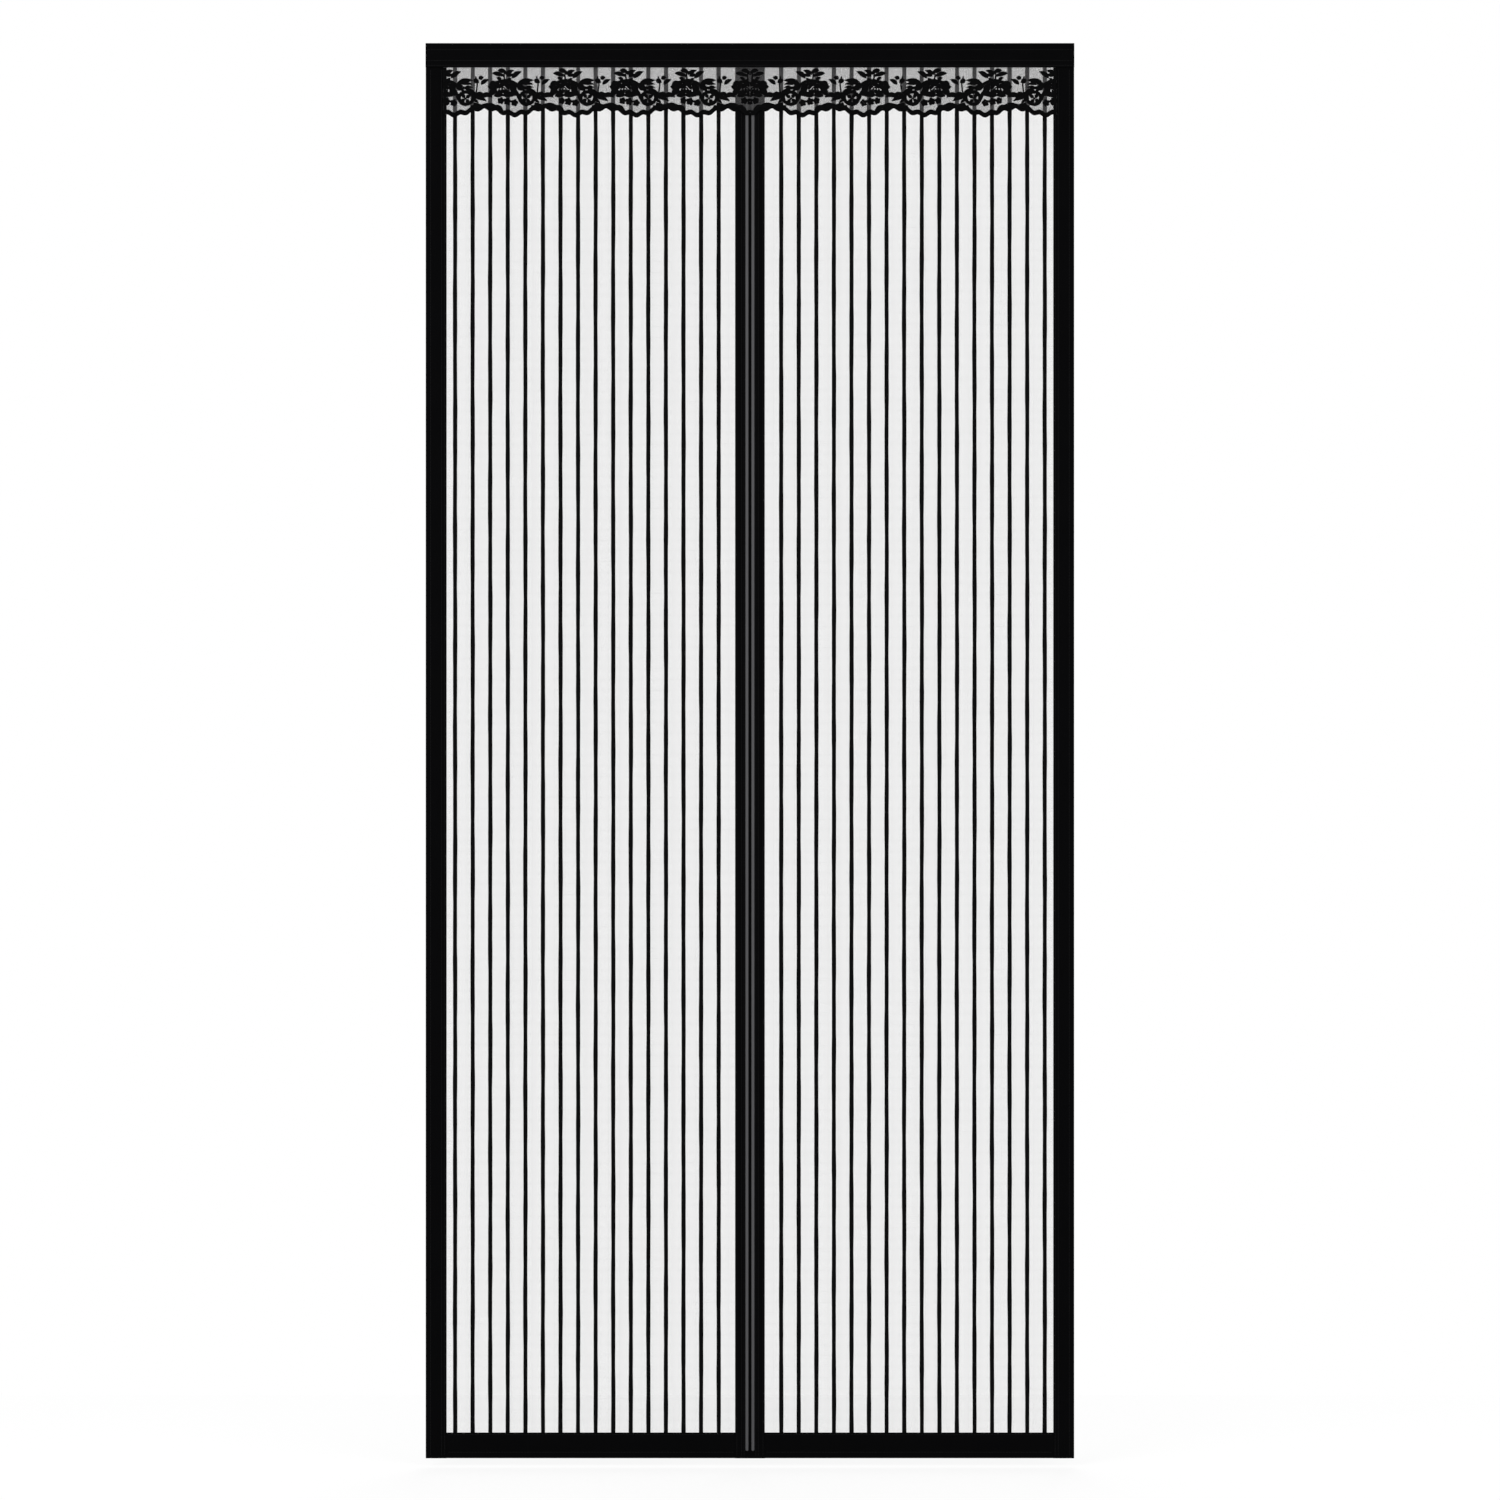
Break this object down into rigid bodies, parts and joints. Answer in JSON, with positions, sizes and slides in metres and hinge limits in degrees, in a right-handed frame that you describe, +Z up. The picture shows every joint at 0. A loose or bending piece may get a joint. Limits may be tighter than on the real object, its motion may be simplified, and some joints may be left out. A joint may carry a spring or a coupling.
{
  "type": "magnetic insect screen",
  "caption": "Striped insect net curtain that parts at a central magnetic seam, with cloth bands all round, a lace valance and hook-and-loop fixing tape on the back.",
  "frame": {"origin": "middle of the adhesive back face of the top hook tape, on the plane of the door frame", "axes": "+Z up, +X to the right as seen from the front, +Y back into the door frame, so the front faces -Y"},
  "size_m": [1, 0.0076, 2.182],
  "materials": {
    "net": "woven polyester stripes on fine net",
    "binding_cloth": "matt woven cloth, folded and stitched",
    "magnet_rubber": "smooth satin",
    "lace": "embroidered floral lace on fine net",
    "steel_strip": "galvanised",
    "loop_tape": "brushed loop pile",
    "hook_tape": "moulded hooks with an adhesive back"
  },
  "bodies": {
    "root": {"left_net": "net", "right_net": "net", "top_band": "binding_cloth", "left_side_band": "binding_cloth", "right_side_band": "binding_cloth", "left_bottom_hem": "binding_cloth", "right_bottom_hem": "binding_cloth", "left_magnet_sleeve": "binding_cloth", "right_magnet_sleeve": "binding_cloth", "left_magnet_strip": "magnet_rubber", "right_magnet_strip": "magnet_rubber", "lace_valance": "lace", "left_hem_weight": "steel_strip", "right_hem_weight": "steel_strip", "top_loop_tape": "loop_tape", "left_loop_tape": "loop_tape", "right_loop_tape": "loop_tape", "top_hook_tape": "hook_tape", "left_hook_tape": "hook_tape", "right_hook_tape": "hook_tape"}
  },
  "joints": []
}
